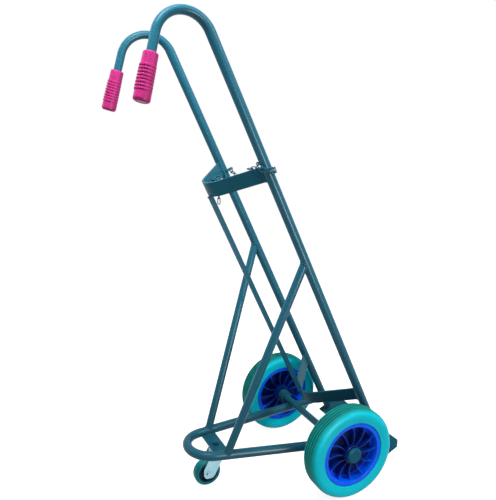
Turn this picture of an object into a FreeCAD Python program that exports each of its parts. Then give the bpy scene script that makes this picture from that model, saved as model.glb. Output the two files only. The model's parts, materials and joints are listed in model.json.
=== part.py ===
"""Gas cylinder trolley: two leaning handle tubes with V cradles, a toe plate, two main wheels
on a cross axle, a U-bent base tube with one swivel castor behind, and a retaining chain."""
import FreeCAD, Part
import math
import os
from FreeCAD import Placement, Rotation, Vector

# Main wheels
WHEEL_D = 250.0
WHEEL_W = 60.0
WHEEL_GAP = 3.0            # between the toe plate's edge and the tyre
TYRE_SEAT_R = 83.0
RIM_LIP_R = 89.5
RIM_LIP_W = 5.0
RIM_WALL = 5.0
RIM_HALF_W = 26.0
RIM_DRAFT = 3.0
RIM_EDGE_R = 1.0
LIP_EDGE_R = 2.4
LIP_ROOT_R = 1.2
WEB_T = 6.0
FIN_COUNT = 12
FIN_T = 2.6
FIN_BOW = 6.0
FIN_SETBACK = 6.0          # of the fin edges behind the hub's face
FIN_ROOT = 1.0
HUB_R = 25.0
HUB_DRAFT = 2.0
HUB_EDGE_R = 1.5
HUB_INNER = 30.0
HUB_OUTER = 25.5
BUSH_WALL = 4.0
GROOVE_COUNT = 4
GROOVE_W = 2.6
GROOVE_DEPTH = 2.2
GROOVE_PITCH = 9.0
GROOVE_EDGE_R = 0.4
GROOVE_ROOT_R = 0.5
BEAD_W = 2.0               # of the tyre beyond the rim lip
BEAD_EDGE_R = 1.0
SHOULDER_R = 8.0
TREAD_R = 16.0
SIDEWALL_R = 14.0

# Axle
AXLE_D = 20.0
COLLAR_R = 17.0
COLLAR_W = 26.0
COLLAR_EDGE_R = 1.0
WASHER_R = 19.0
WASHER_T = 2.0
CAP_R = 21.0
CAP_T = 7.0
CAP_DEPTH = 3.0
CAP_EDGE_R = 5.0
CAP_BACK_R = 0.5

# Uprights and handles
LEAN = 25.2
UPRIGHT_D = 24.0
UPRIGHT_WALL = 2.0
UPRIGHT_SPACING = 288.0
UPRIGHT_AHEAD = 131.0      # ahead of the axle, at the axle's height
STRAIGHT_TOP = 1147.0      # along the tube, from the axle's height to the handle bend
HANDLE_BEND_R = 67.0
HANDLE_TURN = 139.6
HANDLE_SPLAY = 7.0
HANDLE_LEG = 139.0
HANDLE_D = 20.8            # of the drawn-down tube beyond the bend
BEND_FLAT = 20.0           # across the flattened bend, in its own plane
BEND_WIDE = 24.6

# Grips
GRIP_LENGTH = 102.0
GRIP_END_T = 5.0
GRIP_TOP_R = 16.0
GRIP_END_R = 18.3
GRIP_COLLAR_L = 27.0       # plain length at the open end
GRIP_END_L = 20.0          # plain length at the closed end
GRIP_EDGE_R = 4.0
GRIP_TIP_R = 7.0
GRIP_RIBS = 8
RIB_W = 4.4
RIB_PROUD = 1.9            # on the side away from the upright
RIB_LOW = 0.5              # on the side towards it
RIB_EDGE_R = 1.2

# Cradles and spine
CRADLE_DEPTH = 136.0       # where the two sides would meet, behind the plane of the uprights
CRADLE_T = 5.0
CRADLE_H = 38.0
CRADLE_BEND_R = 72.0
UPPER_CRADLE_UP = 798.0
LOWER_CRADLE_UP = 120.0
SPINE_BACK = 109.5
SPINE_W = 13.0
SPINE_T = 6.0

# Toe plate
TOE_DROP = 78.0            # top face below the axle's height, along the tubes
TOE_T = 5.0
TOE_FRONT = 53.0
TOE_BACK = 26.5
TOE_OVERHANG = 7.5         # beyond the uprights, each side
TOE_CHAMFER = 16.0

# Base loop, struts and castor bar
BASE_D = 25.0
BASE_WALL = 2.5
BASE_BEND_R = 65.0
AXLE_SINK = 1.0            # depth of the saddle that holds the axle
CASTOR_BACK = 301.0        # king bolt behind the axle
LOOP_REACH = 81.0          # middle of the tube at the rear end, behind the king bolt
BAR_W = 40.0
BAR_T = 5.0
BAR_UNDER = 8.5            # middle of the bar below the middle of the tubes
STRUT_D = 21.3
STRUT_WALL = 2.0
STRUT_TOP = 572.0          # along the upright, from the axle's height
STRUT_AHEAD = 3.0          # foot ahead of the king bolt

# Castor
CASTOR_D = 75.0
CASTOR_W = 25.0
CASTOR_HEIGHT = 106.0
CASTOR_TRAIL = 29.0
CASTOR_HUB_R = 11.0
CASTOR_HUB_W = 28.0
CASTOR_TYRE_T = 10.0
CASTOR_TYRE_R = 7.0
CASTOR_RIM_T = 4.0
CASTOR_WEB_T = 8.0
CASTOR_EDGE_R = 0.9
FORK_T = 2.5
FORK_SIDE_GAP = 1.0
FORK_EYE_R = 14.0
FORK_FRONT = 16.0
FORK_BACK = 18.0
FORK_KNEE_R = 6.0
FORK_TIP_R = 13.5
FORK_WAIST_R = 8.0
HOUSING_R = 21.0
HOUSING_T = 3.0
HOUSING_SKIRT = 7.5
HOUSING_WALL = 2.0
HOUSING_EDGE_R = 2.5
HOUSING_ROOT_R = 1.0
BALL_R = 2.5
BALL_PITCH_R = 14.5
BALL_COUNT = 12
KING_R = 5.0
KING_HEAD_H = 5.0
KING_NUT_H = 8.0
WHEEL_BOLT_R = 4.0
WHEEL_BOLT_HEAD = 5.0
CASTOR_BUSH_WALL = 2.0
HEX_RATIO = 1.7            # across corners of a bolt head or nut, over the thread's diameter
THREAD_PROUD = 3.0

# Chain
LINK_WIRE = 2.5
LINK_INNER = 14.6
LINK_WIDTH = 4.2
END_LINK_WIDTH = 12.0
SPAN_LINKS = 17
TAIL_LINKS = 5
EYE_R = 7.0                # inside
EYE_WIRE = 4.0
EYE_WELD = 1.0             # let into the piece that carries it
EYE_ANGLE = 30.0           # round the upright, forward of straight inwards
SPAN_EYE_UP = 9.0          # above the upper cradle's lower edge
TAIL_EYE_UP = 18.0
TAIL_EYE_OUT = 76.0        # from the centre plane, on the left side of the upper cradle

# Clearances
RUNNING = 0.05             # radial, shaft in its bore
SIDE_PLAY = 0.3
SEAT_GAP = 0.1

TENSION_STEPS = 200

# Sizes that follow
AXLE_Z = WHEEL_D / 2
AXLE_R = AXLE_D / 2
UPRIGHT_R = UPRIGHT_D / 2
UPRIGHT_Y = UPRIGHT_SPACING / 2
HANDLE_R = HANDLE_D / 2
BASE_R = BASE_D / 2
TOE_HALF_W = UPRIGHT_Y + UPRIGHT_R + TOE_OVERHANG
WHEEL_Y = TOE_HALF_W + WHEEL_GAP + WHEEL_W / 2
BUSH_R = AXLE_R + RUNNING + BUSH_WALL
CAP_Y = WHEEL_Y + HUB_OUTER + SIDE_PLAY + WASHER_T
BASE_Z = AXLE_Z - AXLE_R - BASE_R + AXLE_SINK
BAR_TOP = CASTOR_HEIGHT + BAR_T
BASE_RISE = BAR_TOP - BAR_T / 2 + BAR_UNDER - BASE_Z
SLOPE = BASE_RISE / CASTOR_BACK
LEAN_TAN = math.tan(math.radians(LEAN))
JOIN_X = (UPRIGHT_AHEAD + LEAN_TAN * (AXLE_Z - BASE_Z)) / (1 - LEAN_TAN * SLOPE)
LOOP_X = BASE_BEND_R - CASTOR_BACK - LOOP_REACH
TAPER = math.atan2(UPRIGHT_Y, JOIN_X - LOOP_X) - math.asin(
    BASE_BEND_R / math.hypot(JOIN_X - LOOP_X, UPRIGHT_Y))
CASTOR_Z = CASTOR_D / 2
CROWN_Z = CASTOR_HEIGHT - HOUSING_T - 2 * BALL_R - 2 * SEAT_GAP
LINK_PITCH = LINK_INNER - SIDE_PLAY

X, Y, Z = Vector(1, 0, 0), Vector(0, 1, 0), Vector(0, 0, 1)
LEANED = Placement(Vector(UPRIGHT_AHEAD, 0, AXLE_Z), Rotation(Y, -LEAN))
SLOPED = Placement(Vector(0, 0, BASE_Z), Rotation(Y, math.degrees(math.atan(SLOPE))))
SIDES = {"left": 1, "right": -1}

shapes = {}


def rounded_outline(corners):
    """Closed wire in the XY plane through corners given as (x, y, radius)."""
    edges = []
    ends = []
    for i, (x, y, radius) in enumerate(corners):
        corner = Vector(x, y, 0)
        before = Vector(*corners[i - 1][:2], 0) - corner
        after = Vector(*corners[(i + 1) % len(corners)][:2], 0) - corner
        half = before.getAngle(after) / 2
        before.normalize()
        after.normalize()
        setback = radius / math.tan(half)
        start, end = corner + before * setback, corner + after * setback
        if radius > 0:
            middle = before + after
            middle.normalize()
            top = corner + middle * (radius / math.sin(half) - radius)
            edges.append(Part.Arc(start, top, end).toShape())
        ends.append((start, end))
    for i, (start, _) in enumerate(ends):
        if ends[i - 1][1].distanceToPoint(start) > 1e-6:
            edges.append(Part.LineSegment(ends[i - 1][1], start).toShape())
    return Part.Wire(Part.__sortEdges__(edges))


def slab(corners, bottom, thickness):
    """Flat plate with a rounded outline in XY, from bottom upwards."""
    plate = Part.Face(rounded_outline(corners)).extrude(Z * thickness)
    return plate.translated(Z * bottom)


def turned(corners, centre=Vector(), axis=Y):
    """Solid of revolution from a section of (radius, distance along the axis, corner radius)."""
    section = Part.Face(rounded_outline(corners))
    solid = section.revolve(Vector(), Y, 360)
    return solid.transformed(Placement(centre, Rotation(Y, axis)).toMatrix())


def ring(inner_r, outer_r, start, end, centre=Vector(), axis=Y, corner=0.0):
    """Plain ring or sleeve between two distances along its axis."""
    return turned([(inner_r, start, 0), (outer_r, start, corner), (outer_r, end, corner),
                   (inner_r, end, 0)], centre, axis)


def rod(start, end, radius):
    """Straight round bar between two points."""
    return Part.makeCylinder(radius, (end - start).Length, start, end - start)


def pipe(edges, radius):
    """Round bar along a chain of edges."""
    path = Part.Wire(edges)
    first = path.OrderedEdges[0]
    at = first.valueAt(first.FirstParameter)
    along = first.tangentAt(first.FirstParameter)
    section = Part.Wire(Part.makeCircle(radius, at, along))
    return path.makePipeShell([section], True, False)


def hexagon(thread_r, bottom, height, centre, axis):
    """Bolt head or nut blank on an axis."""
    corner_r = thread_r * HEX_RATIO
    points = [Vector(corner_r * math.cos(k * math.pi / 3), corner_r * math.sin(k * math.pi / 3), 0)
              for k in range(7)]
    blank = Part.Face(Part.makePolygon(points)).extrude(Z * height).translated(Z * bottom)
    return blank.transformed(Placement(centre, Rotation(Z, axis)).toMatrix())


def add(name, shape, place=Placement()):
    shapes[name] = shape.transformed(place.toMatrix()).removeSplitter()


def oval(centre, across, wide_r, out, flat_r):
    """Closed wire of an ellipse, with its half axes along across and out."""
    ellipse = Part.Wire(Part.Ellipse(Vector(), wide_r, flat_r).toShape())
    return ellipse.transformed(Placement(centre, Rotation(across, out, Vector(), "XYZ")).toMatrix())


def handle_line(side):
    """Ends of an upright's straight run, of its bend and of the handle, standing frame."""
    top = Vector(0, side * UPRIGHT_Y, STRAIGHT_TOP)
    splay = math.radians(HANDLE_SPLAY)
    back = Vector(-math.cos(splay), side * math.sin(splay), 0)
    turn = math.radians(HANDLE_TURN)
    half = turn / 2
    centre = top + back * HANDLE_BEND_R
    to_middle = Z * math.sin(half) - back * math.cos(half)
    to_end = Z * math.sin(turn) - back * math.cos(turn)
    down = back * math.sin(turn) + Z * math.cos(turn)
    bend_end = centre + to_end * HANDLE_BEND_R
    return {"top": top, "back": back, "centre": centre, "to_middle": to_middle, "to_end": to_end,
            "bend_end": bend_end, "down": down, "tip": bend_end + down * HANDLE_LEG}


def upright_shape(side, inset):
    """One upright and its handle, standing frame, drawn in by inset all round."""
    line = handle_line(side)
    foot = Vector(0, side * UPRIGHT_Y, -TOE_DROP)
    across = Z.cross(line["back"])
    middle = line["centre"] + line["to_middle"] * HANDLE_BEND_R
    path = Part.Wire(Part.Arc(line["top"], middle, line["bend_end"]).toShape())
    start_r, end_r = UPRIGHT_R - inset, HANDLE_R - inset
    sections = [oval(line["top"], across, start_r, line["back"], start_r),
                oval(middle, across, BEND_WIDE / 2 - inset, line["to_middle"], BEND_FLAT / 2 - inset),
                oval(line["bend_end"], across, end_r, line["to_end"], end_r)]
    bend = path.makePipeShell(sections, True, False)
    return rod(foot, line["top"], start_r).fuse([bend, rod(line["bend_end"], line["tip"], end_r)])


def upright_bar(side):
    """Straight outside of an upright, standing frame, used to fit pieces against it."""
    foot = Vector(0, side * UPRIGHT_Y, -TOE_DROP)
    return rod(foot, foot + Z * (STRAIGHT_TOP + TOE_DROP), UPRIGHT_R)


def grip(line):
    """Tapered sleeve with a closed end and ribs that stand highest on the side away from the upright."""
    body = turned([(0, GRIP_LENGTH, 0), (0, 0, 0), (GRIP_TOP_R, 0, GRIP_EDGE_R),
                   (GRIP_END_R, GRIP_LENGTH, GRIP_TIP_R)])
    pitch = (GRIP_LENGTH - GRIP_COLLAR_L - GRIP_END_L) / GRIP_RIBS
    ribs = []
    for k in range(GRIP_RIBS):
        start = GRIP_COLLAR_L + k * pitch
        rib_r = GRIP_TOP_R + (GRIP_END_R - GRIP_TOP_R) * start / GRIP_LENGTH + (RIB_PROUD + RIB_LOW) / 2
        ribs.append(turned([(0, start, 0), (rib_r, start, RIB_EDGE_R), (rib_r, start + RIB_W, RIB_EDGE_R),
                            (0, start + RIB_W, 0)], X * (RIB_PROUD - RIB_LOW) / 2))
    bore = rod(Vector(), Y * (GRIP_LENGTH - GRIP_END_T), HANDLE_R)
    sleeve = body.fuse(ribs).cut(bore)
    open_end = line["tip"] + line["down"] * (GRIP_END_T - GRIP_LENGTH)
    turn = Rotation(line["to_end"], line["down"], Vector(), "XYZ")
    return sleeve.transformed(Placement(open_end, turn).toMatrix())


def cradle(bottom):
    """V of flat bar between the uprights, standing frame, with a wide round nose."""
    side_length = math.hypot(CRADLE_DEPTH, UPRIGHT_Y)
    across = Vector(-UPRIGHT_Y, CRADLE_DEPTH, 0) * (CRADLE_T / 2 / side_length)
    apex_half = CRADLE_T / 2 * side_length / UPRIGHT_Y
    plan = [(across.x, UPRIGHT_Y + across.y, 0),
            (-CRADLE_DEPTH - apex_half, 0, CRADLE_BEND_R + CRADLE_T),
            (across.x, -UPRIGHT_Y - across.y, 0),
            (-across.x, -UPRIGHT_Y + across.y, 0),
            (-CRADLE_DEPTH + apex_half, 0, CRADLE_BEND_R),
            (-across.x, UPRIGHT_Y - across.y, 0)]
    bent_bar = slab(plan, bottom, CRADLE_H)
    return bent_bar.cut(upright_bar(1)).cut(upright_bar(-1))


def loop_edges():
    """Plan of the base loop, from the left upright round the rear bend to the right one."""
    tangent_x = LOOP_X - BASE_BEND_R * math.sin(TAPER)
    tangent_y = BASE_BEND_R * math.cos(TAPER)
    left, right = Vector(tangent_x, tangent_y, 0), Vector(tangent_x, -tangent_y, 0)
    short = UPRIGHT_R / 2
    end_x = JOIN_X - short * math.cos(TAPER)
    end_y = UPRIGHT_Y - short * math.sin(TAPER)
    return [Part.LineSegment(Vector(end_x, end_y, 0), left).toShape(),
            Part.Arc(left, Vector(LOOP_X - BASE_BEND_R, 0, 0), right).toShape(),
            Part.LineSegment(right, Vector(end_x, -end_y, 0)).toShape()]


def base_y(x):
    """Distance of a base tube's middle from the centre plane, at a distance ahead of the axle."""
    return UPRIGHT_Y - (JOIN_X - x) * math.tan(TAPER)


def base_bar(side):
    """Straight outside of a base tube, run on past the bend, used to fit pieces against it."""
    ends = [SLOPED.multVec(Vector(x, side * base_y(x), 0)) for x in (JOIN_X, LOOP_X - BASE_BEND_R)]
    return rod(ends[0], ends[1], BASE_R)


def build_uprights():
    for name, side in SIDES.items():
        tube = upright_shape(side, 0).cut(upright_shape(side, UPRIGHT_WALL))
        add(name + "_upright", tube, LEANED)
        add(name + "_grip", grip(handle_line(side)), LEANED)


def build_cradles():
    add("upper_cradle", cradle(UPPER_CRADLE_UP), LEANED)
    add("lower_cradle", cradle(LOWER_CRADLE_UP), LEANED)
    foot = LOWER_CRADLE_UP + CRADLE_H
    bar = Part.makeBox(SPINE_W, SPINE_T, UPPER_CRADLE_UP - foot,
                       Vector(-SPINE_BACK - SPINE_W / 2, -SPINE_T / 2, foot))
    add("spine_bar", bar, LEANED)


def build_toe_plate():
    outline = [(-TOE_BACK, -TOE_HALF_W, 0), (TOE_FRONT - TOE_CHAMFER, -TOE_HALF_W, 0),
               (TOE_FRONT, -TOE_HALF_W + TOE_CHAMFER, 0),
               (TOE_FRONT, TOE_HALF_W - TOE_CHAMFER, 0),
               (TOE_FRONT - TOE_CHAMFER, TOE_HALF_W, 0), (-TOE_BACK, TOE_HALF_W, 0)]
    add("toe_plate", slab(outline, -TOE_DROP - TOE_T, TOE_T), LEANED)


def build_base():
    uprights = [upright_bar(side).transformed(LEANED.toMatrix()) for side in SIDES.values()]
    axle_end = CAP_Y + CAP_DEPTH
    axle = rod(Vector(0, -axle_end, AXLE_Z), Vector(0, axle_end, AXLE_Z), AXLE_R)
    bar_front = BAR_W / 2 - CASTOR_BACK
    bar_rear = bar_front - BAR_W
    bar = slab([(bar_rear, -base_y(bar_rear), 0), (bar_front, -base_y(bar_front), 0),
                (bar_front, base_y(bar_front), 0), (bar_rear, base_y(bar_rear), 0)], CASTOR_HEIGHT, BAR_T)
    king = Vector(-CASTOR_BACK, 0, 0)
    loop = pipe(loop_edges(), BASE_R).transformed(SLOPED.toMatrix())
    bore = pipe(loop_edges(), BASE_R - BASE_WALL).transformed(SLOPED.toMatrix())
    struts = {}
    for name, side in SIDES.items():
        foot_x = STRUT_AHEAD - CASTOR_BACK
        foot = SLOPED.multVec(Vector(foot_x, side * base_y(foot_x), 0))
        top = LEANED.multVec(Vector(0, side * UPRIGHT_Y, STRUT_TOP))
        tube = rod(foot, top, STRUT_D / 2).cut(rod(foot, top, STRUT_D / 2 - STRUT_WALL))
        struts[name + "_strut"] = tube.cut(base_bar(side))
        bar = bar.cut(base_bar(side))
    for upright in uprights:
        loop = loop.cut(upright)
        struts = {name: strut.cut(upright) for name, strut in struts.items()}
    add("base_loop", loop.cut(bore).cut(axle))
    add("axle", axle)
    add("castor_bar", bar.cut(rod(king, king + Z * 2 * BAR_TOP, KING_R + RUNNING)))
    for name, strut in struts.items():
        add(name, strut)


def rim():
    """Moulded wheel centre on the Y axis: barrel with two lips, web, hub and curved fins."""
    barrel_r = TYRE_SEAT_R - RIM_WALL
    lip_in = RIM_HALF_W - RIM_LIP_W
    half_web = WEB_T / 2
    section = [(BUSH_R, -HUB_INNER, 0), (HUB_R, -HUB_INNER, HUB_EDGE_R),
               (HUB_R + HUB_DRAFT, -half_web, 0), (barrel_r - RIM_DRAFT, -half_web, 0),
               (barrel_r, -RIM_HALF_W, RIM_EDGE_R), (RIM_LIP_R, -RIM_HALF_W, LIP_EDGE_R),
               (RIM_LIP_R, -lip_in, LIP_ROOT_R), (TYRE_SEAT_R, -lip_in, 0),
               (TYRE_SEAT_R, lip_in, 0), (RIM_LIP_R, lip_in, LIP_ROOT_R),
               (RIM_LIP_R, RIM_HALF_W, LIP_EDGE_R), (barrel_r, RIM_HALF_W, RIM_EDGE_R),
               (barrel_r - RIM_DRAFT, half_web, 0), (HUB_R + HUB_DRAFT, half_web, 0),
               (HUB_R, HUB_OUTER, HUB_EDGE_R), (BUSH_R, HUB_OUTER, 0)]
    solid = turned(section)
    start, end = HUB_R - FIN_ROOT, barrel_r - FIN_ROOT
    middle = (start + end) / 2
    half = FIN_T / 2
    outline = [Part.Arc(Vector(start, half, 0), Vector(middle, FIN_BOW + half, 0),
                        Vector(end, half, 0)).toShape(),
               Part.LineSegment(Vector(end, half, 0), Vector(end, -half, 0)).toShape(),
               Part.Arc(Vector(end, -half, 0), Vector(middle, FIN_BOW - half, 0),
                        Vector(start, -half, 0)).toShape(),
               Part.LineSegment(Vector(start, -half, 0), Vector(start, half, 0)).toShape()]
    fin_depth = HUB_OUTER - FIN_SETBACK
    fin = Part.Face(Part.Wire(outline)).extrude(Z * 2 * fin_depth).translated(Z * -fin_depth)
    fin.rotate(Vector(), X, 90)
    for k in range(FIN_COUNT):
        one = fin.copy()
        one.rotate(Vector(), Y, k * 360.0 / FIN_COUNT)
        solid = solid.fuse(one)
    return solid


def tyre():
    """Solid tyre on the Y axis, with grooves round the tread."""
    lip_in = RIM_HALF_W - RIM_LIP_W
    half_w = WHEEL_W / 2
    outer = WHEEL_D / 2
    lip_r = RIM_LIP_R + SEAT_GAP
    wide = RIM_HALF_W + BEAD_W
    section = [(TYRE_SEAT_R, -lip_in, 0), (lip_r, -lip_in, 0), (lip_r, -wide, BEAD_EDGE_R),
               (lip_r + SIDEWALL_R, -half_w, SHOULDER_R), (outer, -half_w, TREAD_R)]
    first = -(GROOVE_COUNT - 1) / 2 * GROOVE_PITCH
    for k in range(GROOVE_COUNT):
        start = first + k * GROOVE_PITCH - GROOVE_W / 2
        root = outer - GROOVE_DEPTH
        section += [(outer, start, GROOVE_EDGE_R), (root, start, GROOVE_ROOT_R),
                    (root, start + GROOVE_W, GROOVE_ROOT_R), (outer, start + GROOVE_W, GROOVE_EDGE_R)]
    section += [(outer, half_w, TREAD_R), (lip_r + SIDEWALL_R, half_w, SHOULDER_R),
                (lip_r, wide, BEAD_EDGE_R), (lip_r, lip_in, 0), (TYRE_SEAT_R, lip_in, 0)]
    return turned(section)


def build_wheels():
    for name, side in SIDES.items():
        outward = Y * side
        hub = Vector(0, side * WHEEL_Y, AXLE_Z)
        out = Placement(hub, Rotation(Y, outward))
        add(name + "_rim", rim(), out)
        add(name + "_tyre", tyre(), out)
        add(name + "_bush", ring(AXLE_R + RUNNING, BUSH_R, -HUB_INNER, HUB_OUTER), out)
        inner = -HUB_INNER - SIDE_PLAY
        collar = ring(AXLE_R, COLLAR_R, inner - COLLAR_W, inner, corner=COLLAR_EDGE_R)
        add(name + "_collar", collar, out)
        face = HUB_OUTER + SIDE_PLAY
        add(name + "_washer", ring(AXLE_R, WASHER_R, face, face + WASHER_T), out)
        seat = face + WASHER_T
        cap = [(0, seat + CAP_DEPTH, 0), (AXLE_R, seat + CAP_DEPTH, 0), (AXLE_R, seat, 0),
               (CAP_R, seat, CAP_BACK_R), (CAP_R, seat + CAP_T, CAP_EDGE_R), (0, seat + CAP_T, 0)]
        add(name + "_axle_cap", turned(cap), out)


def build_castor():
    king = Vector(-CASTOR_BACK, 0, 0)
    hub = king + Vector(-CASTOR_TRAIL, 0, CASTOR_Z)
    skirt = CASTOR_HEIGHT - HOUSING_SKIRT
    ceiling = CASTOR_HEIGHT - HOUSING_T
    bore = KING_R + RUNNING
    housing = [(bore, ceiling, 0), (HOUSING_R - HOUSING_WALL, ceiling, HOUSING_ROOT_R),
               (HOUSING_R - HOUSING_WALL, skirt, 0), (HOUSING_R, skirt, 0),
               (HOUSING_R, CASTOR_HEIGHT, HOUSING_EDGE_R), (bore, CASTOR_HEIGHT, 0)]
    add("castor_housing", turned(housing, king, Z))
    ball_z = ceiling - SEAT_GAP - BALL_R
    balls = []
    for k in range(BALL_COUNT):
        turn = 2 * math.pi * k / BALL_COUNT
        spot = Vector(math.cos(turn), math.sin(turn), 0) * BALL_PITCH_R
        balls.append(Part.makeSphere(BALL_R, king + spot + Z * ball_z))
    shapes["castor_balls"] = Part.makeCompound(balls)

    leg_in = CASTOR_HUB_W / 2 + FORK_SIDE_GAP
    leg_out = leg_in + FORK_T
    crown = ring(bore, HOUSING_R, CROWN_Z - FORK_T, CROWN_Z, king, Z)
    rear = -CASTOR_TRAIL - FORK_EYE_R
    front = -CASTOR_TRAIL + FORK_EYE_R
    low = CASTOR_Z - FORK_EYE_R
    leg_outline = [(-FORK_BACK, CROWN_Z, 0), (rear, CASTOR_Z + FORK_EYE_R, FORK_KNEE_R),
                   (rear, low, FORK_TIP_R), (front, low, FORK_TIP_R),
                   (FORK_FRONT, CROWN_Z - FORK_BACK, FORK_WAIST_R), (FORK_FRONT, CROWN_Z, 0)]
    leg = Part.Face(rounded_outline(leg_outline)).extrude(Z * FORK_T)
    leg.rotate(Vector(), X, 90)
    fork = crown.fuse([leg.translated(king + Y * leg_out), leg.translated(king - Y * leg_in)])
    shoulder = Part.makeBox(FORK_FRONT + FORK_BACK, 2 * leg_out, FORK_T,
                            king + Vector(-FORK_BACK, -leg_out, CROWN_Z - FORK_T))
    shoulder = shoulder.cut(rod(king, king + Z * CASTOR_HEIGHT, bore))
    bolt_hole = rod(hub - Y * 2 * leg_out, hub + Y * 2 * leg_out, WHEEL_BOLT_R + RUNNING)
    add("castor_fork", fork.fuse(shoulder).cut(bolt_hole))

    head_top = CROWN_Z - FORK_T - SIDE_PLAY
    shank_top = BAR_TOP + KING_NUT_H + THREAD_PROUD
    king_bolt = rod(king + Z * head_top, king + Z * shank_top, KING_R)
    king_bolt = king_bolt.fuse(hexagon(KING_R, head_top - KING_HEAD_H, KING_HEAD_H, king, Z))
    add("castor_king_bolt", king_bolt)
    nut = hexagon(KING_R, BAR_TOP, KING_NUT_H, king, Z)
    add("castor_king_nut", nut.cut(rod(king, king + Z * 2 * shank_top, KING_R)))

    bush_r = WHEEL_BOLT_R + RUNNING + CASTOR_BUSH_WALL
    add("castor_bush", ring(WHEEL_BOLT_R + RUNNING, bush_r, -leg_in, leg_in, hub))
    rim_out = CASTOR_D / 2 - CASTOR_TYRE_T
    rim_in = rim_out - CASTOR_RIM_T
    half_hub, half_w, half_web = CASTOR_HUB_W / 2, CASTOR_W / 2, CASTOR_WEB_T / 2
    section = [(bush_r + RUNNING, -half_hub, 0), (CASTOR_HUB_R, -half_hub, CASTOR_EDGE_R),
               (CASTOR_HUB_R, -half_web, 0), (rim_in, -half_web, 0),
               (rim_in, -half_w, CASTOR_EDGE_R), (rim_out, -half_w, 0), (rim_out, half_w, 0),
               (rim_in, half_w, CASTOR_EDGE_R), (rim_in, half_web, 0), (CASTOR_HUB_R, half_web, 0),
               (CASTOR_HUB_R, half_hub, CASTOR_EDGE_R), (bush_r + RUNNING, half_hub, 0)]
    add("castor_hub", turned(section, hub))
    add("castor_tyre", ring(rim_out, CASTOR_D / 2, -half_w, half_w, hub, corner=CASTOR_TYRE_R))
    nut_out = leg_out + WHEEL_BOLT_HEAD
    bolt = rod(hub - Y * leg_out, hub + Y * (nut_out + THREAD_PROUD), WHEEL_BOLT_R)
    bolt = bolt.fuse(hexagon(WHEEL_BOLT_R, leg_out, WHEEL_BOLT_HEAD, hub, -Y))
    add("castor_wheel_bolt", bolt)
    wheel_nut = hexagon(WHEEL_BOLT_R, leg_out, WHEEL_BOLT_HEAD, hub, Y)
    add("castor_wheel_nut", wheel_nut.cut(rod(hub, hub + Y * 2 * nut_out, WHEEL_BOLT_R)))


def link(width):
    """One oval link, long along X and flat in XY, centred."""
    bend_r = (width + LINK_WIRE) / 2
    straight = (LINK_INNER - width) / 2
    end = straight + bend_r
    edges = [Part.LineSegment(Vector(-straight, -bend_r, 0), Vector(straight, -bend_r, 0)).toShape(),
             Part.Arc(Vector(straight, -bend_r, 0), Vector(end, 0, 0),
                      Vector(straight, bend_r, 0)).toShape(),
             Part.LineSegment(Vector(straight, bend_r, 0), Vector(-straight, bend_r, 0)).toShape(),
             Part.Arc(Vector(-straight, bend_r, 0), Vector(-end, 0, 0),
                      Vector(-straight, -bend_r, 0)).toShape()]
    return pipe(edges, LINK_WIRE / 2)


def eye(centre):
    """Welded wire eye, standing frame, before it is fitted to what carries it."""
    return Part.makeTorus(EYE_R + EYE_WIRE / 2, EYE_WIRE / 2, centre)


def build_chain():
    eye_mid_r = EYE_R + EYE_WIRE / 2
    eye_out_r = EYE_R + EYE_WIRE
    first = LINK_INNER / 2 - EYE_WIRE / 2 - SIDE_PLAY

    stand_off = UPRIGHT_R + eye_out_r - EYE_WELD
    turn = math.radians(EYE_ANGLE)
    for name, side in SIDES.items():
        centre = Vector(stand_off * math.sin(turn), side * (UPRIGHT_Y - stand_off * math.cos(turn)),
                        UPPER_CRADLE_UP + SPAN_EYE_UP)
        add(name + "_chain_eye", eye(centre).cut(upright_bar(side)), LEANED)
        hang = LEANED.multVec(centre - Y * (side * eye_mid_r))

    half_span = abs(hang.y)
    half_length = first + (SPAN_LINKS - 1) / 2 * LINK_PITCH
    tension = half_span
    for _ in range(TENSION_STEPS):
        tension = half_span / math.asinh(half_length / tension)
    end_rise = math.hypot(half_length, tension)
    links = []
    for k in range(SPAN_LINKS):
        along = (k - (SPAN_LINKS - 1) / 2) * LINK_PITCH
        middle = Vector(hang.x, tension * math.asinh(along / tension),
                        hang.z + math.hypot(along, tension) - end_rise)
        at_end = k in (0, SPAN_LINKS - 1)
        one = link(END_LINK_WIDTH if at_end else LINK_WIDTH)
        one.rotate(Vector(), X, 0 if k % 2 else 90)
        one.rotate(Vector(), Z, 90)
        one.rotate(Vector(), X, math.degrees(math.atan(along / tension)))
        links.append(one.translated(middle))
    shapes["chain_span"] = Part.makeCompound(links)

    side_length = math.hypot(CRADLE_DEPTH, UPRIGHT_Y)
    inward = Vector(UPRIGHT_Y, -CRADLE_DEPTH, 0) / side_length
    on_leg = Vector(-CRADLE_DEPTH * (1 - TAIL_EYE_OUT / UPRIGHT_Y), TAIL_EYE_OUT,
                    UPPER_CRADLE_UP + TAIL_EYE_UP)
    centre = on_leg + inward * (CRADLE_T / 2 + eye_out_r - EYE_WELD)
    add("tail_eye", eye(centre).cut(cradle(UPPER_CRADLE_UP)), LEANED)
    top = LEANED.multVec(centre + inward * eye_mid_r)
    tail = []
    for k in range(TAIL_LINKS):
        one = link(END_LINK_WIDTH if k == 0 else LINK_WIDTH)
        one.rotate(Vector(), X, 90 if k % 2 else 0)
        one.rotate(Vector(), Y, 90)
        one.rotate(Vector(), Z, math.degrees(math.atan2(inward.y, inward.x)) + 90)
        tail.append(one.translated(top - Z * (first + k * LINK_PITCH)))
    shapes["chain_tail"] = Part.makeCompound(tail)
    print("chain hangs at", hang, "tail at", top)


build_uprights()
build_cradles()
build_toe_plate()
build_base()
build_wheels()
build_castor()
build_chain()

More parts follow.
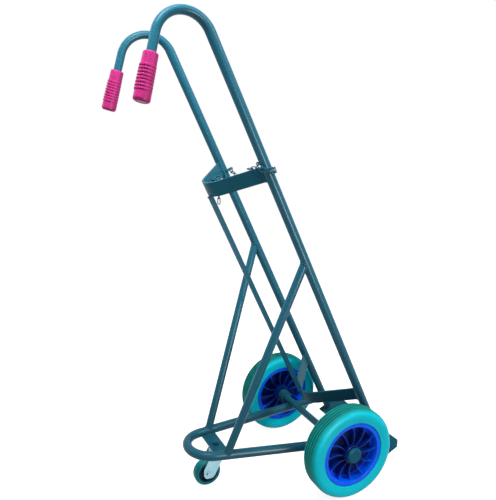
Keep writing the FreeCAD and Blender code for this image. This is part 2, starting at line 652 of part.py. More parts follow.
# The origin is on the floor, under the middle of the whole trolley
reach = Part.makeCompound(list(shapes.values())).optimalBoundingBox()
to_origin = Vector(-(reach.XMin + reach.XMax) / 2, 0, -reach.ZMin)
os.makedirs("parts", exist_ok=True)
for node, shape in shapes.items():
    shape.translated(to_origin).exportStep("parts/" + node + ".step")
    print(node, len(shape.Solids), shape.isValid(), round(shape.Volume))
print("size", reach.XLength, reach.YLength, reach.ZLength, "axle x", to_origin.x)
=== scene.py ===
# %% [markdown]
# A gas cylinder trolley, dressed for its picture.
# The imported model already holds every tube, plate, wheel and chain link at its real size.
# Here they get their finishes, the welds that hold the frame together, and the spare turns of chain
# that are wound round one upright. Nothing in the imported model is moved.

# %% Load the fixed frame
import json
import math

import bpy
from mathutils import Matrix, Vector


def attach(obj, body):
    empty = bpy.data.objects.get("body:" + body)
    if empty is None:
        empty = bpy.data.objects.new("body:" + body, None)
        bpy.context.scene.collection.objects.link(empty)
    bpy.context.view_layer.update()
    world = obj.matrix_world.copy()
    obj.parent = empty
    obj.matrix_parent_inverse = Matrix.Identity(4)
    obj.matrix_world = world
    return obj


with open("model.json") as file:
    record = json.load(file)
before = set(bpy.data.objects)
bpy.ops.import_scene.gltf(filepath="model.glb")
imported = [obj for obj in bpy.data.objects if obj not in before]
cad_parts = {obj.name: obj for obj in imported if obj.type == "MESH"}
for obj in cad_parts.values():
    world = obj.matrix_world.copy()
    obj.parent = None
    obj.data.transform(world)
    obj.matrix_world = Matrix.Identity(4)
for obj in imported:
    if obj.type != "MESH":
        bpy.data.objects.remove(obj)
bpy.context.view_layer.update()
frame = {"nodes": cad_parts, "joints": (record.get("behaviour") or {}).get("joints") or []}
nodes = frame["nodes"]
joints = {joint["name"]: joint for joint in frame["joints"]}

# %% [markdown]
# The camera comes first, so that every later step can be judged in the photograph's own view.
# The picture was taken from behind the trolley and to its right, at about the height of the handles.
# Both wheels, the castor and the parallel tubes fix the place of the camera relative to the axle.
# Its field of view follows from how fast those tubes draw together.

# %% Camera
AXLE = Vector((joints["left_wheel_spin"]["pos_m"][0], 0, joints["left_wheel_spin"]["pos_m"][2]))
CAMERA_FROM_AXLE = Vector((-0.7979, -1.2781, 0.8126))
CAMERA_YAW = 0.4354
CAMERA_PITCH = 0.1989
CAMERA_LENS = 38.98
CAMERA_SENSOR = 36.0

camera = bpy.data.objects.new("camera", bpy.data.cameras.new("camera"))
bpy.context.scene.collection.objects.link(camera)
camera.data.sensor_width = CAMERA_SENSOR
camera.data.lens = CAMERA_LENS
camera.location = AXLE + CAMERA_FROM_AXLE
camera.rotation_euler = (math.pi / 2 - CAMERA_PITCH, 0, -CAMERA_YAW)
bpy.context.scene.camera = camera
bpy.context.scene.view_settings.view_transform = "Standard"
print("camera at", [round(v, 3) for v in camera.location])

# %% [markdown]
# A node tree is easier to read when each node is one line.
# The first helper adds a node and feeds its inputs: a socket is linked, and any other value is set.
# The second adds one step of arithmetic.

# %% Helpers for node trees


def feed(tree, kind, inputs=None, **settings):
    """Adds a node to a tree, with its settings and inputs."""
    made = tree.nodes.new(kind)
    for name, value in settings.items():
        setattr(made, name, value)
    for key, value in (inputs or {}).items():
        if isinstance(value, bpy.types.NodeSocket):
            tree.links.new(value, made.inputs[key])
        else:
            made.inputs[key].default_value = value
    return made


def maths(tree, operation, first, second):
    return feed(tree, "ShaderNodeMath", {0: first, 1: second}, operation=operation).outputs[0]


print("node helpers ready")

# %% [markdown]
# The light is that of a plain white studio. A large soft key lamp stands on the right, a top lamp hangs over
# the frame, a small fill lamp lights the bends of the handles, and a weak back lamp keeps the far side clear.
# A strip lamp that lies along the uprights shows in reflections only: it draws the soft line on the tubes.
# The surround and the floor are white to the camera and to reflections only.
# All other rays find a softer grey there, so the paint isn't washed out and the floor keeps a shadow.

# %% Light, surround and floor
LAMPS = {
    "key_lamp": {"at": (1.9, -2.0, 2.5), "aim": (0, 0, 0.6), "size": 0.9, "watts": 76},
    "top_lamp": {"at": (-0.45, -0.35, 2.4), "aim": (-0.2, 0, 0.8), "size": 0.9, "watts": 28},
    "fill_lamp": {"at": (-0.62, -0.38, 1.92), "aim": (-0.27, -0.15, 1.18), "size": 0.4, "watts": 13},
    "back_lamp": {"at": (-1.8, 1.4, 2.0), "aim": (-0.1, 0, 0.7), "size": 1.2, "watts": 12},
}
LEAN = math.radians(25.2)
STRIP_FROM_AXLE = Vector((-0.02, -1.37, 0.33))
STRIP_SIZE = (0.20, 0.9)
STRIP_WATTS = 42
SURROUND = 0.30
FLOOR_GLOW = 0.86
FLOOR_GREY = 0.50
FLOOR_REACH = 8.0
FLOOR_Z = -0.0003


def seen_directly(tree):
    """1 for rays from the camera, a mirror or clear glass, 0 for rays that only carry light."""
    path = feed(tree, "ShaderNodeLightPath")
    seen = path.outputs["Is Camera Ray"]
    for name in ("Is Glossy Ray", "Is Transmission Ray"):
        seen = maths(tree, "MAXIMUM", seen, path.outputs[name])
    return seen


for name, lamp in LAMPS.items():
    data = bpy.data.lights.new(name, "AREA")
    data.size = lamp["size"]
    data.energy = lamp["watts"]
    obj = bpy.data.objects.new(name, data)
    obj.location = lamp["at"]
    obj.rotation_euler = (Vector(lamp["aim"]) - obj.location).to_track_quat("-Z", "Y").to_euler()
    bpy.context.scene.collection.objects.link(obj)

strip = bpy.data.lights.new("strip_lamp", "AREA")
strip.shape = "RECTANGLE"
strip.size, strip.size_y = STRIP_SIZE
strip.energy = STRIP_WATTS
strip_lamp = bpy.data.objects.new("strip_lamp", strip)
strip_lamp.location = AXLE + STRIP_FROM_AXLE
strip_lamp.rotation_euler = (math.pi / 2, -LEAN, 0)
strip_lamp.visible_diffuse = False
bpy.context.scene.collection.objects.link(strip_lamp)

world = bpy.data.worlds.new("studio")
world.use_nodes = True
bpy.context.scene.world = world
surround = world.node_tree
strength = feed(surround, "ShaderNodeMapRange",
                {"Value": seen_directly(surround), "To Min": SURROUND, "To Max": 1.0})
background = surround.nodes["Background"]
background.inputs["Color"].default_value = (1, 1, 1, 1)
surround.links.new(strength.outputs[0], background.inputs["Strength"])

floor_finish = bpy.data.materials.new("floor_white")
floor_finish.use_nodes = True
tree = floor_finish.node_tree
tree.nodes.remove(tree.nodes["Principled BSDF"])
matt = feed(tree, "ShaderNodeBsdfDiffuse", {"Color": (FLOOR_GREY, FLOOR_GREY, FLOOR_GREY, 1)})
glow = feed(tree, "ShaderNodeEmission", {"Strength": FLOOR_GLOW})
bright = feed(tree, "ShaderNodeAddShader", {0: matt.outputs[0], 1: glow.outputs[0]})
both = feed(tree, "ShaderNodeMixShader", {0: seen_directly(tree), 1: matt.outputs[0], 2: bright.outputs[0]})
tree.links.new(both.outputs[0], tree.nodes["Material Output"].inputs["Surface"])

floor_mesh = bpy.data.meshes.new("floor")
corners = [(x * FLOOR_REACH, y * FLOOR_REACH, FLOOR_Z) for x, y in ((-1, -1), (1, -1), (1, 1), (-1, 1))]
floor_mesh.from_pydata(corners, [], [(0, 1, 2, 3)])
floor_mesh.materials.append(floor_finish)
floor = bpy.data.objects.new("floor", floor_mesh)
bpy.context.scene.collection.objects.link(floor)
print("lamps", list(LAMPS) + [strip_lamp.name], "floor", FLOOR_REACH * 2, "m wide")

# %% [markdown]
# All finishes read Object coordinates. Each piece sits unturned at the origin, so those are its places
# in metres, and a pattern stays on its piece when a wheel turns or the chain swings.
# A finish is the usual Principled shader with some slow unevenness of colour, a fine grain in its bump,
# and roughness that isn't the same everywhere.

# %% Pieces that all finishes share


def new_finish(name, **constant):
    """A material with its shader's constant values set, and the tree, shader and places to go on with."""
    material = bpy.data.materials.new(name)
    material.use_nodes = True
    tree = material.node_tree
    shader = tree.nodes["Principled BSDF"]
    for key, value in constant.items():
        shader.inputs[key.replace("_", " ")].default_value = value
    places = feed(tree, "ShaderNodeTexCoord").outputs["Object"]
    return material, tree, shader, places


def noise(tree, places, per_metre, detail=3.0):
    pattern = feed(tree, "ShaderNodeTexNoise", {"Vector": places, "Scale": per_metre, "Detail": detail})
    return pattern.outputs["Fac"]


def between(tree, value, low, high, to_low=0.0, to_high=1.0):
    """Stretches one span of a value onto another, and stops at the ends."""
    return feed(tree, "ShaderNodeMapRange", {"Value": value, "From Min": low, "From Max": high,
                                             "To Min": to_low, "To Max": to_high}).outputs[0]


def mixed(tree, share, first, second):
    """Colour between two colours or sockets."""
    blend = feed(tree, "ShaderNodeMix", data_type="RGBA")
    for key, value in ((0, share), (6, first), (7, second)):
        if isinstance(value, bpy.types.NodeSocket):
            tree.links.new(value, blend.inputs[key])
        else:
            blend.inputs[key].default_value = (*value, 1) if key else value
    return blend.outputs[2]


def bump(tree, height, depth):
    """Normal from a height in the range 0 to 1, with its depth in metres."""
    made = feed(tree, "ShaderNodeBump", {"Height": height, "Distance": depth, "Strength": 1.0})
    return made.outputs["Normal"]


def tint(colour, factor):
    return tuple(min(1.0, c * factor) for c in colour)


print("finish helpers ready")

# %% [markdown]
# Frame, axle and axle caps are sprayed with one blue-green gloss enamel.
# Drawn tube is smooth and shines under it. Rolled flat bar is rougher, so its paint is duller.
# The lower frame is painted darker, as painted shade, and this thins out with height.
# Spray paint has a soft ripple, called orange peel, and it chips first on the sharp edges of flat bar.
# A Bevel node finds those edges: where the rounded normal leaves the true one, an edge is near.
# Noise then breaks the edge up, so only some of it is bare.

# %% Enamel of the frame
ENAMEL = (0.012, 0.112, 0.170)
BARE_STEEL = (0.20, 0.21, 0.21)
CAP_GREY = (0.003, 0.078, 0.128)
TUBE_SHINE, BAR_SHINE = 0.11, 0.04
BAR_TINT, CHAIN_TINT = 0.88, 0.85
# Heights over which the painted shade on the lower frame fades out, and how dark it is at the bottom.
PAINTED_SHADE_HEIGHTS = (0.10, 0.50)
PAINTED_SHADE_TINT = 0.66
PAINT_ROUGHNESS = (0.27, 0.33)
PEEL_DEPTH = 0.00001
EDGE_REACH = 0.0016
FEW_CHIPS, MORE_CHIPS, NO_CHIPS = 0.06, 0.10, -0.3


def enamel(name, colour, chips, shine=TUBE_SHINE):
    material, tree, shader, places = new_finish(name, Specular_IOR_Level=shine)
    clouds = between(tree, noise(tree, places, 9.0), 0.3, 0.7)
    specks = between(tree, noise(tree, places, 260.0, 2.0), 0.45, 0.75)
    sprayed = mixed(tree, clouds, tint(colour, 0.92), tint(colour, 1.08))
    sprayed = mixed(tree, maths(tree, "MULTIPLY", specks, 0.15), sprayed, tint(colour, 0.80))
    # Painted shade: the enamel is darker low down and reaches its full colour with height.
    height = feed(tree, "ShaderNodeSeparateXYZ", {0: places}).outputs["Z"]
    sprayed = mixed(tree, between(tree, height, *PAINTED_SHADE_HEIGHTS), tint(colour, PAINTED_SHADE_TINT), sprayed)
    rounded = feed(tree, "ShaderNodeBevel", {"Radius": EDGE_REACH}, samples=4).outputs[0]
    true_normal = feed(tree, "ShaderNodeNewGeometry").outputs["Normal"]
    agree = feed(tree, "ShaderNodeVectorMath", {0: rounded, 1: true_normal}, operation="DOT_PRODUCT")
    edge = between(tree, agree.outputs["Value"], 0.97, 0.80)
    patches = between(tree, noise(tree, places, 55.0, 5.0), 0.62 - chips, 0.70 - chips)
    bare = maths(tree, "MULTIPLY", edge, patches)
    tree.links.new(mixed(tree, bare, sprayed, BARE_STEEL), shader.inputs["Base Color"])
    tree.links.new(bare, shader.inputs["Metallic"])
    smears = between(tree, noise(tree, places, 14.0, 4.0), 0.3, 0.7, *PAINT_ROUGHNESS)
    tree.links.new(smears, shader.inputs["Roughness"])
    tree.links.new(bump(tree, noise(tree, places, 90.0, 0.0), PEEL_DEPTH), shader.inputs["Normal"])
    return material


frame_enamel = enamel("frame_enamel", ENAMEL, FEW_CHIPS)
chain_enamel = enamel("chain_enamel", tint(ENAMEL, CHAIN_TINT), MORE_CHIPS)
# The caps' colour is raised by the inverse of the painted shade, so that low on the frame they show about
# CAP_GREY.
cap_enamel = enamel("cap_enamel", tint(CAP_GREY, 1 / PAINTED_SHADE_TINT), NO_CHIPS, BAR_SHINE)
bar_enamel = enamel("bar_enamel", tint(ENAMEL, BAR_TINT), FEW_CHIPS, BAR_SHINE)
weld_enamel = enamel("weld_enamel", ENAMEL, NO_CHIPS)
print("enamels", [made.name for made in (frame_enamel, chain_enamel, cap_enamel, bar_enamel, weld_enamel)])

# %% [markdown]
# The tyres are solid coloured rubber. Their walls keep the moulded colour, and the tread is duller and a
# darker green, with painted shade in its grooves.
# The distance from the wheel's own middle line tells wall from tread, so the finish needs no map.

# %% Rubber of the main wheels
TYRE_R = 0.125
TYRE_Y = abs(joints["left_wheel_spin"]["pos_m"][1])
GROOVES_TO = 0.0150
WALL_RUBBER = (0.0, 0.49, 0.60)
TREAD_RUBBER = (0.004, 0.16, 0.145)
# Colour of the painted shade in the tread's grooves.
GROOVE_SHADE = (0.004, 0.11, 0.10)
TREAD_FROM, TREAD_TO = TYRE_R - 0.006, TYRE_R + 0.0015
TREAD_EDGE_WOBBLE = 0.003
RUBBER_ROUGHNESS = (0.38, 0.62)
RUBBER_GRAIN = 0.00008
BAND_EDGE = 0.0005
GROOVE_DEPTHS = (TYRE_R - 0.0003, TYRE_R - 0.0012)
WALL_BELOW = (TYRE_R - 0.0036, TYRE_R - 0.0030)


def from_axle(tree, places, middle):
    """Distance from a line along Y through a middle point."""
    flat = feed(tree, "ShaderNodeVectorMath", {0: places, 1: middle}, operation="SUBTRACT").outputs[0]
    flat = feed(tree, "ShaderNodeVectorMath", {0: flat, 1: (1, 0, 1)}, operation="MULTIPLY").outputs[0]
    return feed(tree, "ShaderNodeVectorMath", {0: flat}, operation="LENGTH").outputs["Value"]


def off_middle(tree, places):
    """Distance of a place from the middle plane of its main wheel."""
    across = feed(tree, "ShaderNodeSeparateXYZ", {0: places}).outputs["Y"]
    offset = maths(tree, "SUBTRACT", maths(tree, "ABSOLUTE", across, 0.0), TYRE_Y)
    return maths(tree, "ABSOLUTE", offset, 0.0)


def tyre_rubber():
    material, tree, shader, places = new_finish("tyre_rubber", Specular_IOR_Level=0.06)
    radius = from_axle(tree, places, AXLE)
    wobble = maths(tree, "MULTIPLY", noise(tree, places, 60.0, 4.0), TREAD_EDGE_WOBBLE)
    radius_wobbled = maths(tree, "ADD", radius, wobble)
    tread = between(tree, radius_wobbled, TREAD_FROM, TREAD_TO)
    clouds = between(tree, noise(tree, places, 16.0), 0.3, 0.7)
    wall = mixed(tree, clouds, tint(WALL_RUBBER, 0.93), tint(WALL_RUBBER, 1.05))
    # The tread is a duller, darker green than the wall, and its edge wobbles a little.
    tread_tone = mixed(tree, clouds, TREAD_RUBBER, tint(TREAD_RUBBER, 1.25))
    colour = mixed(tree, tread, wall, tread_tone)
    # Painted shade in the grooves: on the band of the tread, below its surface and above the wall.
    on_band = between(tree, off_middle(tree, places), GROOVES_TO + BAND_EDGE, GROOVES_TO)
    sunk = between(tree, radius, *GROOVE_DEPTHS)
    above_wall = between(tree, radius, *WALL_BELOW)
    in_groove = maths(tree, "MULTIPLY", maths(tree, "MULTIPLY", on_band, sunk), above_wall)
    colour = mixed(tree, in_groove, colour, GROOVE_SHADE)
    tree.links.new(colour, shader.inputs["Base Color"])
    tree.links.new(between(tree, tread, 0, 1, *RUBBER_ROUGHNESS), shader.inputs["Roughness"])
    tree.links.new(bump(tree, noise(tree, places, 700.0, 3.0), RUBBER_GRAIN), shader.inputs["Normal"])
    return material


wheel_rubber = tyre_rubber()
print("rubber", wheel_rubber.name)

# %% [markdown]
# The wheel centres are moulded in glossy blue plastic. Moulded plastic shines evenly, with faint cloudy
# flow marks and some dust here and there.
# Between the fins and towards the hub the blue is painted nearly black, and the fins a darker blue: painted
# shade of the sunken centre.
# The depth from the wheel's face and the distance from the axle tell how dark it is. The lip stays bright.

# %% Plastic of the wheel centres
RIM_BLUE = (0.0, 0.105, 0.85)
# Colour of the painted shade in the sunken centre of the main wheels.
RIM_RECESS_SHADE = (0.0, 0.010, 0.110)
CASTOR_NAVY = (0.0, 0.024, 0.055)
CASTOR_TEAL = (0.0, 0.210, 0.235)
BUSH_BLACK = (0.03, 0.03, 0.03)
DUST = (0.20, 0.24, 0.30)
FIN_ROOT, FIN_EDGE = 0.004, 0.0235
# Share of the blue left on the fin edges under the painted shade, and the radii over which the painted shade
# round the hub fades.
FIN_SHADE_SHARE = 0.45
HUB_SHADE_FADE = (0.022, 0.060)
LIP_FROM = (0.068, 0.071)
MOULD_GRAIN = 0.00004


def moulded(name, colour, gloss, dust, recess_shade=None):
    material, tree, shader, places = new_finish(name, Specular_IOR_Level=0.09)
    flow = between(tree, noise(tree, places, 22.0, 4.0), 0.3, 0.7)
    plain = mixed(tree, flow, tint(colour, 0.94), tint(colour, 1.05))
    if recess_shade:
        # Painted shade: inside the lip the blue darkens towards the web and the hub, and the fin edges keep
        # under half of it.
        depth = maths(tree, "ADD", off_middle(tree, places), maths(tree, "MULTIPLY", flow, 0.004))
        radius = from_axle(tree, places, AXLE)
        fins = mixed(tree, between(tree, radius, *HUB_SHADE_FADE), recess_shade, tint(colour, FIN_SHADE_SHARE))
        fins = mixed(tree, between(tree, depth, FIN_ROOT, FIN_EDGE), tint(recess_shade, 1.3), fins)
        plain = mixed(tree, between(tree, radius, *LIP_FROM), fins, plain)
    spots = between(tree, noise(tree, places, 160.0, 5.0), 0.62, 0.85, 0.0, dust)
    tree.links.new(mixed(tree, spots, plain, DUST), shader.inputs["Base Color"])
    tree.links.new(between(tree, flow, 0, 1, gloss, gloss + 0.08), shader.inputs["Roughness"])
    tree.links.new(bump(tree, noise(tree, places, 260.0, 2.0), MOULD_GRAIN), shader.inputs["Normal"])
    return material


rim_plastic = moulded("rim_plastic", RIM_BLUE, 0.24, 0.06, RIM_RECESS_SHADE)
castor_plastic = moulded("castor_plastic", CASTOR_NAVY, 0.34, 0.04)
bush_plastic = moulded("bush_plastic", BUSH_BLACK, 0.45, 0.05)
castor_rubber = moulded("castor_rubber", CASTOR_TEAL, 0.42, 0.05)
print("plastics", rim_plastic.name, castor_plastic.name, bush_plastic.name, castor_rubber.name)

# %% [markdown]
# The grips are soft vinyl, dipped or moulded in a strong pink. Vinyl has a satin skin with a fine pebble,
# and hands leave it a little darker and shinier in patches.

# %% Vinyl of the grips
GRIP_PINK = (0.42, 0.020, 0.17)
PEBBLES_PER_METRE = 1100.0
PEBBLE_DEPTH = 0.00002


def grip_vinyl():
    material, tree, shader, places = new_finish("grip_vinyl", Specular_IOR_Level=0.12, Subsurface_Weight=0.15,
                                                Subsurface_Radius=(0.004, 0.001, 0.002))
    handled = between(tree, noise(tree, places, 38.0, 4.0), 0.35, 0.7)
    skin = mixed(tree, handled, GRIP_PINK, tint(GRIP_PINK, 0.82))
    tree.links.new(skin, shader.inputs["Base Color"])
    tree.links.new(between(tree, handled, 0, 1, 0.48, 0.36), shader.inputs["Roughness"])
    pebbles = feed(tree, "ShaderNodeTexVoronoi", {"Vector": places, "Scale": PEBBLES_PER_METRE})
    skin_height = pebbles.outputs["Distance"]
    tree.links.new(bump(tree, skin_height, PEBBLE_DEPTH), shader.inputs["Normal"])
    return material


pink_vinyl = grip_vinyl()
print("vinyl", pink_vinyl.name)

# %% [markdown]
# The castor is pressed from sheet steel and zinc plated. Zinc is bright but not a mirror: it has a cloudy
# grey bloom and fine rolling scratches along the sheet.

# %% Zinc plate and plain steel
ZINC_GREY = (0.21, 0.36, 0.41)
STEEL_GREY = (0.56, 0.57, 0.58)
SCRATCHES_PER_METRE = (300.0, 300.0, 2500.0)
SCRATCH_DEPTH = 0.00003


def plated(name, colour, gloss):
    material, tree, shader, places = new_finish(name, Metallic=1.0)
    bloom = between(tree, noise(tree, places, 70.0, 5.0), 0.3, 0.75)
    tree.links.new(mixed(tree, bloom, colour, tint(colour, 0.72)), shader.inputs["Base Color"])
    tree.links.new(between(tree, bloom, 0, 1, gloss, gloss + 0.2), shader.inputs["Roughness"])
    long_way = feed(tree, "ShaderNodeMapping", {"Vector": places, "Scale": SCRATCHES_PER_METRE}).outputs[0]
    tree.links.new(bump(tree, noise(tree, long_way, 1.0, 2.0), SCRATCH_DEPTH), shader.inputs["Normal"])
    return material


zinc = plated("zinc_plate", ZINC_GREY, 0.34)
steel = plated("bright_steel", STEEL_GREY, 0.24)
print("metals", zinc.name, steel.name)

# %% [markdown]
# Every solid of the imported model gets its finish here, by name, as in a list of parts and their treatments.
# Only the material changes: the shape and place of a solid stay as packed.

# %% Finishes onto the solids
FINISHES = {
    frame_enamel: ["left_upright", "right_upright", "base_loop", "left_strut", "right_strut",
                   "left_chain_eye", "right_chain_eye", "tail_eye", "axle", "left_collar",
                   "right_collar", "castor_king_nut", "castor_king_bolt"],
    bar_enamel: ["upper_cradle", "lower_cradle", "spine_bar", "toe_plate", "castor_bar"],
    chain_enamel: ["chain_span", "chain_tail"],
    cap_enamel: ["left_axle_cap", "right_axle_cap"],
    wheel_rubber: ["left_tyre", "right_tyre"],
    rim_plastic: ["left_rim", "right_rim"],
    pink_vinyl: ["left_grip", "right_grip"],
    bush_plastic: ["left_bush", "right_bush", "castor_bush"],
    zinc: ["castor_housing", "castor_fork", "castor_wheel_bolt", "castor_wheel_nut"],
    steel: ["castor_balls", "left_washer", "right_washer"],
    castor_plastic: ["castor_hub"],
    castor_rubber: ["castor_tyre"],
}
for finish, names in FINISHES.items():
    for name in names:
        for material_slot in nodes[name].material_slots:
            material_slot.material = finish
bare_nodes = sorted(set(nodes) - {name for names in FINISHES.values() for name in names})
print("solids finished", sum(len(names) for names in FINISHES.values()), "left bare", bare_nodes)

# %% [markdown]
# What repeats is grown by Geometry Nodes: a tree is given some guide lines and a few named sizes.
# This helper lays the lines down as edges, runs the tree, and keeps the result as a plain mesh.
# The tree's inputs are set before it first runs, and the modifier is taken off afterwards.

# %% A helper that grows pieces on guide lines


def new_tree(name, inputs):
    """A Geometry Nodes tree with a geometry input, named inputs and its group nodes."""
    tree = bpy.data.node_groups.new(name, "GeometryNodeTree")
    tree.interface.new_socket("Geometry", in_out="INPUT", socket_type="NodeSocketGeometry")
    tree.interface.new_socket("Geometry", in_out="OUTPUT", socket_type="NodeSocketGeometry")
    for label, kind in inputs.items():
        tree.interface.new_socket(label, in_out="INPUT", socket_type="NodeSocket" + kind)
    return tree, feed(tree, "NodeGroupInput").outputs, feed(tree, "NodeGroupOutput")


def stepped(tree, given):
    """Points along the guide lines, one pitch apart."""
    run = feed(tree, "GeometryNodeMeshToCurve", {"Mesh": given["Geometry"]}).outputs[0]
    steps = feed(tree, "GeometryNodeResampleCurve", {"Curve": run, "Length": given["Pitch"]}, mode="LENGTH")
    return steps.outputs[0]


def facing(tree):
    """Turn that lays X along the guide line."""
    tangent = feed(tree, "GeometryNodeInputTangent").outputs[0]
    return feed(tree, "FunctionNodeAlignRotationToVector", {"Vector": tangent}, axis="X").outputs[0]


def finish_tree(tree, instances, finish, output):
    """Ends a tree: real geometry, smooth, with its material."""
    real = feed(tree, "GeometryNodeRealizeInstances", {"Geometry": instances}).outputs[0]
    smooth = feed(tree, "GeometryNodeSetShadeSmooth", {"Geometry": real}).outputs[0]
    dressed = feed(tree, "GeometryNodeSetMaterial", {"Geometry": smooth, "Material": finish}).outputs[0]
    tree.links.new(dressed, output.inputs[0])


def grown(name, lines, tree, settings):
    """Object with a plain mesh that a tree has grown on guide lines of (points, closed)."""
    points, edges = [], []
    for line, closed in lines:
        first = len(points)
        points += [tuple(point) for point in line]
        edges += [(first + k, first + k + 1) for k in range(len(line) - 1)]
        if closed:
            edges.append((len(points) - 1, first))
    guide = bpy.data.meshes.new(name + "_guide")
    guide.from_pydata(points, edges, [])
    obj = bpy.data.objects.new(name, guide)
    bpy.context.scene.collection.objects.link(obj)
    growth = obj.modifiers.new("growth", "NODES")
    growth.node_group = tree
    for item in tree.interface.items_tree:
        if item.name in settings:
            growth[item.identifier] = settings[item.name]
    settled = obj.evaluated_get(bpy.context.evaluated_depsgraph_get())
    mesh = bpy.data.meshes.new_from_object(settled)
    obj.modifiers.remove(growth)
    obj.data = mesh
    bpy.data.meshes.remove(guide)
    triangles = sum(len(face.vertices) - 2 for face in mesh.polygons)
    print(name, len(mesh.vertices), "points", triangles, "triangles")
    return obj


print("growing helper ready")

# %% [markdown]
# A welded frame shows its beads wherever one piece stops on another.
# A bead is a row of small puddles of metal, each laid half over the last, so the tree sets flattened
# balls along each seam with a little unevenness in size. The paint runs over them.

# %% Tree of the weld beads
PUDDLE_SHAPE = (0.75, 1.0, 1.0)


def weld_tree():
    tree, given, output = new_tree("weld_bead", {
        "Bead Radius": "Float", "Pitch": "Float", "Unevenness": "Float", "Seed": "Int", "Finish": "Material"})
    steps = stepped(tree, given)
    low = maths(tree, "SUBTRACT", 1.0, given["Unevenness"])
    high = maths(tree, "ADD", 1.0, given["Unevenness"])
    size = feed(tree, "FunctionNodeRandomValue", {2: low, 3: high, "Seed": given["Seed"]}).outputs[1]
    puddle = feed(tree, "ShaderNodeVectorMath", {0: PUDDLE_SHAPE, "Scale": size},
                  operation="SCALE").outputs[0]
    ball = feed(tree, "GeometryNodeMeshIcoSphere",
                {"Radius": given["Bead Radius"], "Subdivisions": 2}).outputs[0]
    puddles = feed(tree, "GeometryNodeInstanceOnPoints",
                   {"Points": steps, "Instance": ball, "Rotation": facing(tree), "Scale": puddle}).outputs[0]
    finish_tree(tree, puddles, given["Finish"], output)
    return tree


weld_bead = weld_tree()
print("tree", weld_bead.name, "inputs", [item.name for item in weld_bead.interface.items_tree])

# %% [markdown]
# The seams follow from the frame's own lines: the two leaning uprights, the two base tubes and the struts.
# Where a tube stops on another tube, the seam is the curve in which their skins meet.
# For each step round the first tube, the line along it is followed to its first touch of the second.

# %% Seams of the frame
UP_THE_TUBE = Vector((-math.sin(LEAN), 0, math.cos(LEAN)))
UPRIGHT_R, BASE_R, STRUT_R = 0.012, 0.0125, 0.01065
UPRIGHT_AHEAD, UPRIGHT_Y = 0.131, 0.144
FOOT_UP, STRUT_UP, TOP_UP = -0.078, 0.572, 1.1
BASE_FRONT = (0.144015, UPRIGHT_Y, -0.027959)
BASE_REAR = (-0.300698, 0.068634, -0.008014)
STRUT_FOOT = (-0.297701, 0.069142, -0.008148)
CRADLE_UPS, CRADLE_SEAM = (0.120, 0.798), 0.037
LEG_BACK, LEG_IN = 0.687, 0.727
LEG_MEETS, LEG_HALF = 0.0121, 0.0034
CASTOR_X, BASE_TAPER = -0.3007, 0.1695
BAR_Y, BAR_Z = 0.0569, -0.0137
BAR_ENDS = [(x, BAR_Y + BASE_TAPER * (x - CASTOR_X), BAR_Z) for x in (-0.281, -0.320)]
SADDLE_Y, SADDLE_Z = 0.1196, -0.0098
SADDLES = [[(x, SADDLE_Y + y, SADDLE_Z) for y in (-0.006, 0.006)] for x in (-0.0055, 0.0055)]
SPINE_UPS = (0.158, 0.798)
SPINE_CORNERS = [(-0.116, -0.003), (-0.116, 0.003), (-0.103, 0.003), (-0.103, -0.003)]
RING_STEPS = 48


def leaned(ahead, across, up):
    """Point given ahead of the uprights, across, and up along them from the axle's height."""
    foot = AXLE + Vector((UPRIGHT_AHEAD, across, 0))
    return foot + UP_THE_TUBE * up + Vector((math.cos(LEAN), 0, math.sin(LEAN))) * ahead


def on_side(place, side):
    """Point given from the axle's middle, on the left side for 1 and on the right side for -1."""
    x, y, z = place
    return AXLE + Vector((x, side * y, z))


def circle(centre, axis, radius):
    side = axis.orthogonal().normalized()
    other = axis.cross(side).normalized()
    turns = [2 * math.pi * k / RING_STEPS for k in range(RING_STEPS)]
    return [centre + side * (radius * math.cos(t)) + other * (radius * math.sin(t)) for t in turns]


def tube_seam(start, end, radius, other_start, other_end, other_radius):
    """Curve in which a tube that runs from start to end first meets the skin of another."""
    way = (end - start).normalized()
    axis = (other_end - other_start).normalized()
    seam = []
    for point in circle(start, way, radius):
        gap = point - other_start
        gap -= axis * gap.dot(axis)
        flat = way - axis * way.dot(axis)
        a, b, c = flat.dot(flat), gap.dot(flat), gap.dot(gap) - other_radius ** 2
        seam.append(point + way * ((-b - math.sqrt(max(b * b - a * c, 0))) / a))
    return seam


seams = []
for side in (1, -1):
    foot, top = leaned(0, side * UPRIGHT_Y, FOOT_UP), leaned(0, side * UPRIGHT_Y, TOP_UP)
    base_front, base_rear = on_side(BASE_FRONT, side), on_side(BASE_REAR, side)
    strut_foot, strut_top = on_side(STRUT_FOOT, side), leaned(0, side * UPRIGHT_Y, STRUT_UP)
    strut_middle = (strut_foot + strut_top) / 2
    seams.append((tube_seam(base_rear, base_front, BASE_R, foot, top, UPRIGHT_R), True))
    seams.append((tube_seam(strut_middle, strut_top, STRUT_R, foot, top, UPRIGHT_R), True))
    seams.append((tube_seam(strut_middle, strut_foot, STRUT_R, base_front, base_rear, BASE_R), True))
    seams.append((circle(foot, UP_THE_TUBE, UPRIGHT_R), True))
    for low in CRADLE_UPS:
        for face in (-1, 1):
            ahead = -LEG_BACK * LEG_MEETS + face * LEG_IN * LEG_HALF
            across = side * (UPRIGHT_Y - LEG_IN * LEG_MEETS - face * LEG_BACK * LEG_HALF)
            seams.append(([leaned(ahead, across, low), leaned(ahead, across, low + CRADLE_SEAM)], False))
    for line in [BAR_ENDS] + SADDLES:
        seams.append(([on_side(place, side) for place in line], False))
for up in SPINE_UPS:
    seams.append(([leaned(ahead, across, up) for ahead, across in SPINE_CORNERS], True))

welds = grown("weld_beads", seams, weld_bead,
              {"Bead Radius": 0.0019, "Pitch": 0.0016, "Unevenness": 0.14, "Seed": 7, "Finish": weld_enamel})
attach(welds, "frame")

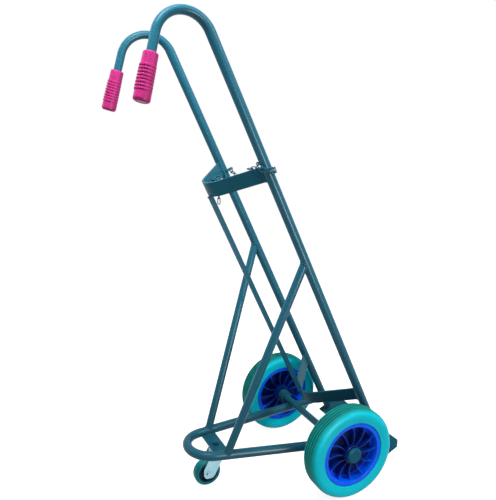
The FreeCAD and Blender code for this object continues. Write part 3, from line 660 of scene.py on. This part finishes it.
# %% [markdown]
# The chain is longer than one cylinder needs, so its spare end is wound round the right upright.
# Chain links lie at right angles to each other. The tree therefore turns every second link by a quarter
# turn about the way the chain runs.

# %% Tree of the chain links
NEARLY_HALF = 0.499
LINK_BEND_STEPS = 8
WIRE_SIDES = 10


def link_tree():
    tree, given, output = new_tree("chain_links", {
        "Link Length": "Float", "Link Width": "Float", "Wire": "Float", "Pitch": "Float", "Upward": "Vector",
        "Finish": "Material"})
    half_wire = maths(tree, "MULTIPLY", given["Wire"], 0.5)
    long_way = maths(tree, "ADD", given["Link Length"], given["Wire"])
    wide_way = maths(tree, "ADD", given["Link Width"], given["Wire"])
    outline = feed(tree, "GeometryNodeCurvePrimitiveQuadrilateral",
                   {"Width": long_way, "Height": wide_way}).outputs[0]
    bend = maths(tree, "MULTIPLY", wide_way, NEARLY_HALF)
    oval = feed(tree, "GeometryNodeFilletCurve", {"Curve": outline, "Count": LINK_BEND_STEPS, "Radius": bend},
                mode="POLY").outputs[0]
    section = feed(tree, "GeometryNodeCurvePrimitiveCircle",
                   {"Resolution": WIRE_SIDES, "Radius": half_wire}).outputs[0]
    wire = feed(tree, "GeometryNodeCurveToMesh", {"Curve": oval, "Profile Curve": section}).outputs[0]
    spots = stepped(tree, given)
    upright = feed(tree, "FunctionNodeAlignRotationToVector",
                   {"Rotation": facing(tree), "Vector": given["Upward"]}, axis="Z", pivot_axis="X").outputs[0]
    index = feed(tree, "GeometryNodeInputIndex").outputs[0]
    odd = maths(tree, "MODULO", index, 2.0)
    angle = maths(tree, "MULTIPLY", maths(tree, "SUBTRACT", odd, 0.5), math.pi / 2)
    twist = feed(tree, "FunctionNodeAxisAngleToRotation", {"Axis": (1, 0, 0), "Angle": angle}).outputs[0]
    turned = feed(tree, "FunctionNodeRotateRotation", {"Rotation": upright, "Rotate By": twist},
                  rotation_space="LOCAL").outputs[0]
    links = feed(tree, "GeometryNodeInstanceOnPoints",
                 {"Points": spots, "Instance": wire, "Rotation": turned}).outputs[0]
    finish_tree(tree, links, given["Finish"], output)
    return tree


chain_links = link_tree()
print("tree", chain_links.name, "inputs", [item.name for item in chain_links.interface.items_tree])

# %% [markdown]
# The line of the chain starts free above the cradle's leg, runs to where it first touches the upright, and
# winds round it with a little rise in each turn. Its own weight makes it droop on the outer side.
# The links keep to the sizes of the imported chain, so both read as one chain.

# %% Spare turns of chain
WRAP_R = 0.0158
WRAP_TURNS = 1.2
WRAP_RISE = 0.0078
WRAP_DROOP = 0.013
ON_CRADLE = 0.8399
CHAIN_END_OUT = 0.040


def round_upright(turn, radius, up):
    """Point about the right upright, by turn and distance from its middle and height along it."""
    return leaned(radius * math.cos(turn), radius * math.sin(turn) - UPRIGHT_Y, up)


over_leg = math.atan2(LEG_IN, -LEG_BACK)
touch = over_leg + math.acos(WRAP_R / CHAIN_END_OUT)
chain_run = []
for k in range(RING_STEPS + 1):
    turn = touch + k / RING_STEPS * WRAP_TURNS * 2 * math.pi
    droop = WRAP_DROOP * (1 - math.cos(turn - over_leg))
    rise = WRAP_RISE * (turn - touch) / (2 * math.pi)
    chain_run.append(round_upright(turn, WRAP_R, ON_CRADLE - droop + rise))
chain_end = round_upright(over_leg, CHAIN_END_OUT, ON_CRADLE)
off_edge = (chain_end + round_upright(touch, WRAP_R, ON_CRADLE)) / 2
chain_run = [chain_end, off_edge] + chain_run
spare_chain = grown("spare_chain", [(chain_run, False)], chain_links,
                    {"Link Length": 0.0146, "Link Width": 0.0042, "Wire": 0.0025, "Pitch": 0.0135,
                     "Upward": UP_THE_TUBE, "Finish": chain_enamel})
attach(spare_chain, "frame")
